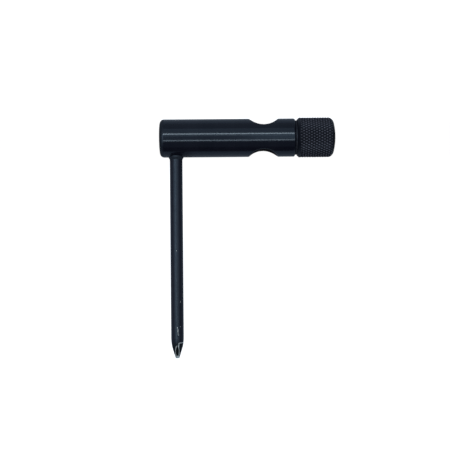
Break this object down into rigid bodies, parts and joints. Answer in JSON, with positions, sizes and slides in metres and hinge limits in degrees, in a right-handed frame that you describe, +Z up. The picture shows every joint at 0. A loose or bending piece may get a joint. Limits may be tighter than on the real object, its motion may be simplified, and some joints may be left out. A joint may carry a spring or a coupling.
{
  "type": "cross-point driver with clamping barrel handle",
  "caption": "Small cross-point hand driver: a round barrel handle holds a removable blade across it, clamped by a knurled end knob.",
  "frame": {"origin": "centre of the barrel's closed flat butt face", "axes": "+X along the barrel towards the knurled knob, +Y away from the blade's point, +Z up when the driver lies flat"},
  "size_m": [0.055, 0.0756, 0.0126],
  "materials": {
    "black_anodised": "black anodised, smooth satin",
    "knurled_black": "black anodised, diamond knurl",
    "blackened_blade": "black finish, chipped at the point",
    "sleeve_steel": "blackened steel",
    "plain_steel": "turned",
    "ball_steel": "polished",
    "spring_steel": "drawn wire",
    "screw_steel": "rolled thread, lightly oiled",
    "pad_brass": "turned",
    "black_rubber": "matte"
  },
  "bodies": {
    "barrel": {"handle_barrel": "black_anodised", "socket_sleeve": "sleeve_steel", "threaded_insert": "plain_steel", "spring_washer": "plain_steel", "return_spring": "spring_steel"},
    "plunger": {"clamp_pad": "pad_brass", "push_rod": "plain_steel", "rod_cup": "plain_steel", "thrust_ball": "ball_steel"},
    "knob": {"clamp_screw": "screw_steel", "clamp_knob": "knurled_black", "knob_lock_screw": "screw_steel", "neck_o_ring": "black_rubber"},
    "shank_ring": {"shank_o_ring": "black_rubber"},
    "blade": {"blade": "blackened_blade"}
  },
  "joints": [
    {"name": "plunger_slide", "type": "slide", "parent": "barrel", "child": "plunger", "axis": [1, 0, 0], "range_m": [0, 0.0024], "deforming": ["return_spring"]},
    {"name": "knob_turn", "type": "hinge", "parent": "plunger", "child": "knob", "pos_m": [0.0433, 0, 0], "axis": [1, 0, 0], "range_deg": [0, 1080]},
    {"name": "blade_slide", "type": "slide", "parent": "barrel", "child": "shank_ring", "axis": [0, -1, 0], "range_m": [0, 0.012]},
    {"name": "blade_turn", "type": "hinge", "parent": "shank_ring", "child": "blade", "pos_m": [0.005, 0, 0], "axis": [0, 1, 0], "continuous": true}
  ],
  "couplings": [
    {"joint": "plunger_slide", "follows": "knob_turn", "m_per_rad": 0.00012732}
  ]
}
